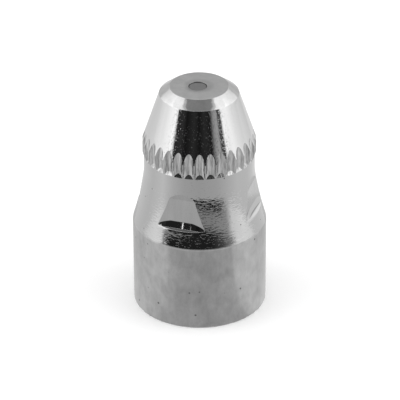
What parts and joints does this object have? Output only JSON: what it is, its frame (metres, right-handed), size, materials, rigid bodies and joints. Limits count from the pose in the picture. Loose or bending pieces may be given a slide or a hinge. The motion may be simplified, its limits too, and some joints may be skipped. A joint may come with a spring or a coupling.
{
  "type": "plasma torch electrode",
  "caption": "Turned and plated copper electrode for a plasma cutting torch: base cylinder, waisted flare with wrench flats, fluted ring, coned nose with flush emitter pin, threaded hollow base.",
  "frame": {"origin": "centre of the seat face, which is the lowest face", "axes": "+Z along the electrode's axis from the seat face to the tip; +X and -X, +Y and -Y point out of the four wrench flats"},
  "size_m": [0.012, 0.012, 0.0213],
  "materials": {
    "bright_nickel_plate": "turned copper with a thin bright nickel plate, satin on the base, mirror on the nose",
    "hafnium": "sawn and faced grey metal, dull"
  },
  "bodies": {
    "root": {"electrode_body": "bright_nickel_plate", "hafnium_insert": "hafnium"}
  },
  "joints": []
}
